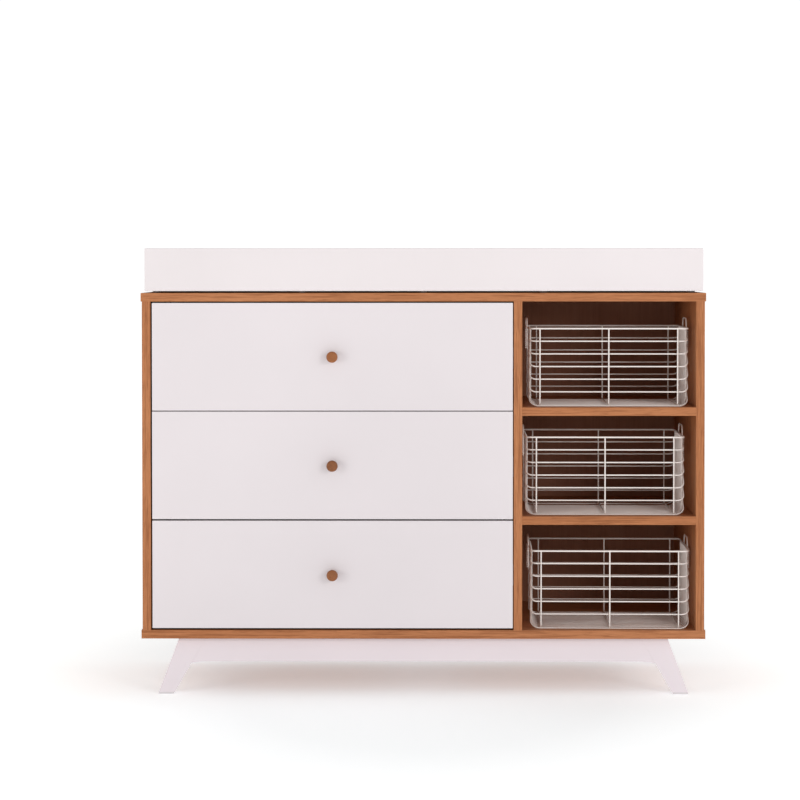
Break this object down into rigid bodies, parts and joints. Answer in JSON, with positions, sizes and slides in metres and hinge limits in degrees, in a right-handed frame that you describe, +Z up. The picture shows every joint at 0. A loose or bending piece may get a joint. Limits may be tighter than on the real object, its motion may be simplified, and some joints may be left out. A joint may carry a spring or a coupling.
{
  "type": "changing table",
  "caption": "Dresser-style changing table with inset drawers, open cubbies holding wire baskets, a lift-off changing tray and splayed legs.",
  "frame": {"origin": "on the floor at the middle of the overall box, knobs included", "axes": "+X to the right seen from the front, +Y to the rear, +Z up; the drawers open along -Y"},
  "size_m": [1.2, 0.505, 0.9525],
  "materials": {
    "wood_laminate": "warm oak-look laminate on board, fine straight grain, satin",
    "back_sheet": "thin wood-look faced fibreboard",
    "white_lacquer": "smooth satin white lacquer on board",
    "white_paint": "satin white paint on solid wood, edges eased",
    "knob_wood": "turned wood with a satin clear coat",
    "drawer_board": "white faced board, matte",
    "runner_steel": "zinc plated rolled steel",
    "screw_steel": "zinc plated steel screws",
    "coated_wire": "steel wire with a white powder coat",
    "glide_plastic": "nylon glides",
    "pad_rubber": "translucent grey bumper pads"
  },
  "bodies": {
    "cabinet": {"top_panel": "wood_laminate", "bottom_panel": "wood_laminate", "left_side_panel": "wood_laminate", "right_side_panel": "wood_laminate", "divider_panel": "wood_laminate", "upper_shelf": "wood_laminate", "lower_shelf": "wood_laminate", "back_panel": "back_sheet", "cabinet_screws": "screw_steel", "front_left_leg": "white_paint", "front_right_leg": "white_paint", "rear_left_leg": "white_paint", "rear_right_leg": "white_paint", "front_apron": "white_paint", "rear_apron": "white_paint", "left_side_rail": "white_paint", "right_side_rail": "white_paint", "middle_rail": "white_paint", "foot_glides": "glide_plastic", "runner_cabinet_members": "runner_steel"},
    "tray": {"tray_front_board": "white_lacquer", "tray_rear_board": "white_lacquer", "tray_left_board": "white_lacquer", "tray_right_board": "white_lacquer", "tray_base": "white_lacquer", "tray_pads": "pad_rubber", "tray_screws": "screw_steel"},
    "drawer_1": {"drawer_1_front": "white_lacquer", "drawer_1_left_side": "drawer_board", "drawer_1_right_side": "drawer_board", "drawer_1_rear": "drawer_board", "drawer_1_bottom": "drawer_board", "drawer_1_knob": "knob_wood", "drawer_1_knob_screw": "screw_steel", "drawer_1_runner_drawer_members": "runner_steel"},
    "drawer_1_runner_middles": {"drawer_1_runner_middle_members": "runner_steel"},
    "drawer_2": {"drawer_2_front": "white_lacquer", "drawer_2_left_side": "drawer_board", "drawer_2_right_side": "drawer_board", "drawer_2_rear": "drawer_board", "drawer_2_bottom": "drawer_board", "drawer_2_knob": "knob_wood", "drawer_2_knob_screw": "screw_steel", "drawer_2_runner_drawer_members": "runner_steel"},
    "drawer_2_runner_middles": {"drawer_2_runner_middle_members": "runner_steel"},
    "drawer_3": {"drawer_3_front": "white_lacquer", "drawer_3_left_side": "drawer_board", "drawer_3_right_side": "drawer_board", "drawer_3_rear": "drawer_board", "drawer_3_bottom": "drawer_board", "drawer_3_knob": "knob_wood", "drawer_3_knob_screw": "screw_steel", "drawer_3_runner_drawer_members": "runner_steel"},
    "drawer_3_runner_middles": {"drawer_3_runner_middle_members": "runner_steel"},
    "basket_1": {"basket_1_rim_and_handles": "coated_wire", "basket_1_wires": "coated_wire"},
    "basket_2": {"basket_2_rim_and_handles": "coated_wire", "basket_2_wires": "coated_wire"},
    "basket_3": {"basket_3_rim_and_handles": "coated_wire", "basket_3_wires": "coated_wire"}
  },
  "joints": [
    {"name": "tray_lift", "type": "slide", "parent": "cabinet", "child": "tray", "axis": [0, 0, 1], "range_m": [0, 0.15]},
    {"name": "drawer_1_slide", "type": "slide", "parent": "cabinet", "child": "drawer_1", "axis": [0, -1, 0], "range_m": [0, 0.36]},
    {"name": "drawer_1_runner_middle_slide", "type": "slide", "parent": "cabinet", "child": "drawer_1_runner_middles", "axis": [0, -1, 0], "range_m": [0, 0.18]},
    {"name": "drawer_2_slide", "type": "slide", "parent": "cabinet", "child": "drawer_2", "axis": [0, -1, 0], "range_m": [0, 0.36]},
    {"name": "drawer_2_runner_middle_slide", "type": "slide", "parent": "cabinet", "child": "drawer_2_runner_middles", "axis": [0, -1, 0], "range_m": [0, 0.18]},
    {"name": "drawer_3_slide", "type": "slide", "parent": "cabinet", "child": "drawer_3", "axis": [0, -1, 0], "range_m": [0, 0.36]},
    {"name": "drawer_3_runner_middle_slide", "type": "slide", "parent": "cabinet", "child": "drawer_3_runner_middles", "axis": [0, -1, 0], "range_m": [0, 0.18]},
    {"name": "basket_1_slide", "type": "slide", "parent": "cabinet", "child": "basket_1", "axis": [0, -1, 0], "range_m": [-0.17, 0.3]},
    {"name": "basket_2_slide", "type": "slide", "parent": "cabinet", "child": "basket_2", "axis": [0, -1, 0], "range_m": [-0.17, 0.3]},
    {"name": "basket_3_slide", "type": "slide", "parent": "cabinet", "child": "basket_3", "axis": [0, -1, 0], "range_m": [-0.17, 0.3]}
  ],
  "couplings": [
    {"joint": "drawer_1_runner_middle_slide", "follows": "drawer_1_slide", "ratio": 0.5},
    {"joint": "drawer_2_runner_middle_slide", "follows": "drawer_2_slide", "ratio": 0.5},
    {"joint": "drawer_3_runner_middle_slide", "follows": "drawer_3_slide", "ratio": 0.5}
  ]
}
